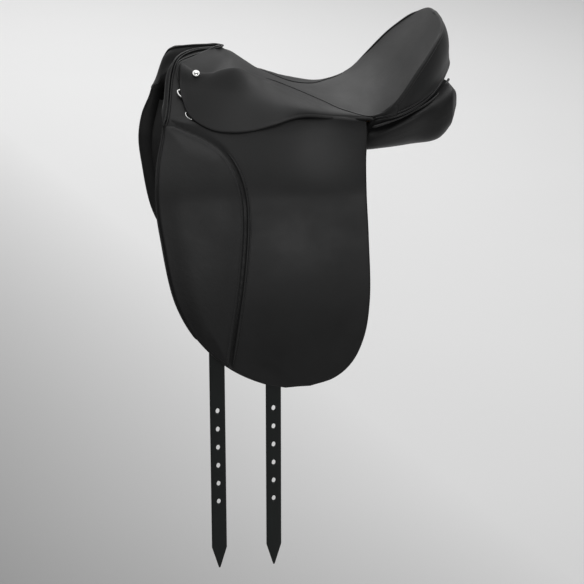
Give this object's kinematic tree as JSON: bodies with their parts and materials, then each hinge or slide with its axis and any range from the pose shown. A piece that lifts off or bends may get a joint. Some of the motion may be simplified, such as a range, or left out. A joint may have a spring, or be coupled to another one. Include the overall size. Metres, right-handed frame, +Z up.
{
  "type": "english saddle",
  "caption": "Black leather dressage saddle with a deep seat, long straight flaps with padded fronts, lifting skirts, stirrup bars and hanging girth straps.",
  "frame": {"origin": "on the centreline, at the level of the panels' underside where the saddle sits on the horse's back", "axes": "+X rearward to the cantle, -Y the near (left) side, +Z up"},
  "size_m": [0.507, 0.528, 0.884],
  "materials": {
    "flap_leather": "black grained leather, satin",
    "seat_leather": "soft black leather, satin",
    "pad_leather": "soft black leather, matt grain",
    "panel_leather": "black leather, matt",
    "billet_leather": "green-black strap leather, smooth",
    "welt_leather": "black leather piping, polished",
    "silver": "polished nickel",
    "steel": "brushed steel",
    "tree_wood": "laminated beech",
    "foam": "open-cell foam",
    "webbing": "woven jute webbing"
  },
  "bodies": {
    "seat_and_tree": {"cantle_facing": "flap_leather", "cantle_welt": "welt_leather", "girth_web": "webbing", "head_plate": "steel", "near_flap_head": "flap_leather", "near_head_nail": "silver", "near_lower_chape": "flap_leather", "near_panel": "panel_leather", "near_panel_welt": "panel_leather", "near_seat_welt": "welt_leather", "near_skirt_head": "flap_leather", "near_spring_steel": "steel", "near_stirrup_bar": "steel", "near_sweat_flap": "panel_leather", "near_upper_chape": "flap_leather", "off_flap_head": "flap_leather", "off_head_nail": "silver", "off_lower_chape": "flap_leather", "off_panel": "panel_leather", "off_panel_welt": "panel_leather", "off_seat_welt": "welt_leather", "off_skirt_head": "flap_leather", "off_spring_steel": "steel", "off_stirrup_bar": "steel", "off_sweat_flap": "panel_leather", "off_upper_chape": "flap_leather", "pommel_facing": "flap_leather", "pommel_welt": "welt_leather", "seat_foam": "foam", "seat_leather": "seat_leather", "seat_web": "webbing", "tree": "tree_wood"},
    "near_flap": {"near_flap": "flap_leather", "near_knee_pad": "pad_leather"},
    "near_skirt": {"near_skirt": "flap_leather"},
    "near_front_billet": {"near_front_billet": "billet_leather"},
    "near_rear_billet": {"near_rear_billet": "billet_leather"},
    "near_upper_ring": {"near_upper_ring": "silver"},
    "near_lower_ring": {"near_lower_ring": "silver"},
    "near_safety_catch": {"near_safety_catch": "steel"},
    "off_flap": {"off_flap": "flap_leather", "off_knee_pad": "pad_leather"},
    "off_skirt": {"off_skirt": "flap_leather"},
    "off_front_billet": {"off_front_billet": "billet_leather"},
    "off_rear_billet": {"off_rear_billet": "billet_leather"},
    "off_upper_ring": {"off_upper_ring": "silver"},
    "off_lower_ring": {"off_lower_ring": "silver"},
    "off_safety_catch": {"off_safety_catch": "steel"}
  },
  "joints": [
    {"name": "off_flap_lift", "type": "hinge", "parent": "seat_and_tree", "child": "off_flap", "pos_m": [0, 0.1539, 0.031], "axis": [0.9977, 0.068, 0], "range_deg": [0, 70]},
    {"name": "off_skirt_lift", "type": "hinge", "parent": "seat_and_tree", "child": "off_skirt", "pos_m": [-0.217, 0.088, 0.108], "axis": [0.9689, 0.1107, -0.2215], "range_deg": [0, 50]},
    {"name": "off_upper_ring_swing", "type": "hinge", "parent": "seat_and_tree", "child": "off_upper_ring", "pos_m": [-0.20694, 0.09435, 0.08423], "axis": [0.006, 0.7081, 0.7061], "range_deg": [-12, 12]},
    {"name": "off_lower_ring_swing", "type": "hinge", "parent": "seat_and_tree", "child": "off_lower_ring", "pos_m": [-0.19839, 0.11246, 0.06558], "axis": [-0.003, 0.7263, 0.6873], "range_deg": [-12, 12]},
    {"name": "off_catch_turn", "type": "hinge", "parent": "seat_and_tree", "child": "off_safety_catch", "pos_m": [-0.06655, 0.1102, 0.05933], "axis": [-0.127, -0.518, -0.8459], "range_deg": [0, 45]},
    {"name": "off_front_billet_swing", "type": "hinge", "parent": "seat_and_tree", "child": "off_front_billet", "pos_m": [-0.179, 0.12, 0.034], "axis": [0, 1, 0], "range_deg": [-2, 10]},
    {"name": "off_rear_billet_swing", "type": "hinge", "parent": "seat_and_tree", "child": "off_rear_billet", "pos_m": [-0.088, 0.12, 0.034], "axis": [0, 1, 0], "range_deg": [-10, 2]},
    {"name": "near_flap_lift", "type": "hinge", "parent": "seat_and_tree", "child": "near_flap", "pos_m": [0, -0.1539, 0.031], "axis": [-0.9977, 0.068, 0], "range_deg": [0, 70]},
    {"name": "near_skirt_lift", "type": "hinge", "parent": "seat_and_tree", "child": "near_skirt", "pos_m": [-0.217, -0.088, 0.108], "axis": [-0.9689, 0.1107, 0.2215], "range_deg": [0, 50]},
    {"name": "near_upper_ring_swing", "type": "hinge", "parent": "seat_and_tree", "child": "near_upper_ring", "pos_m": [-0.20694, -0.09435, 0.08423], "axis": [-0.006, 0.7081, -0.7061], "range_deg": [-12, 12]},
    {"name": "near_lower_ring_swing", "type": "hinge", "parent": "seat_and_tree", "child": "near_lower_ring", "pos_m": [-0.19839, -0.11246, 0.06558], "axis": [0.003, 0.7263, -0.6873], "range_deg": [-12, 12]},
    {"name": "near_catch_turn", "type": "hinge", "parent": "seat_and_tree", "child": "near_safety_catch", "pos_m": [-0.06655, -0.1102, 0.05933], "axis": [0.127, -0.518, 0.8459], "range_deg": [0, 45]},
    {"name": "near_front_billet_swing", "type": "hinge", "parent": "seat_and_tree", "child": "near_front_billet", "pos_m": [-0.179, -0.12, 0.034], "axis": [0, 1, 0], "range_deg": [-2, 10]},
    {"name": "near_rear_billet_swing", "type": "hinge", "parent": "seat_and_tree", "child": "near_rear_billet", "pos_m": [-0.088, -0.12, 0.034], "axis": [0, 1, 0], "range_deg": [-10, 2]}
  ]
}
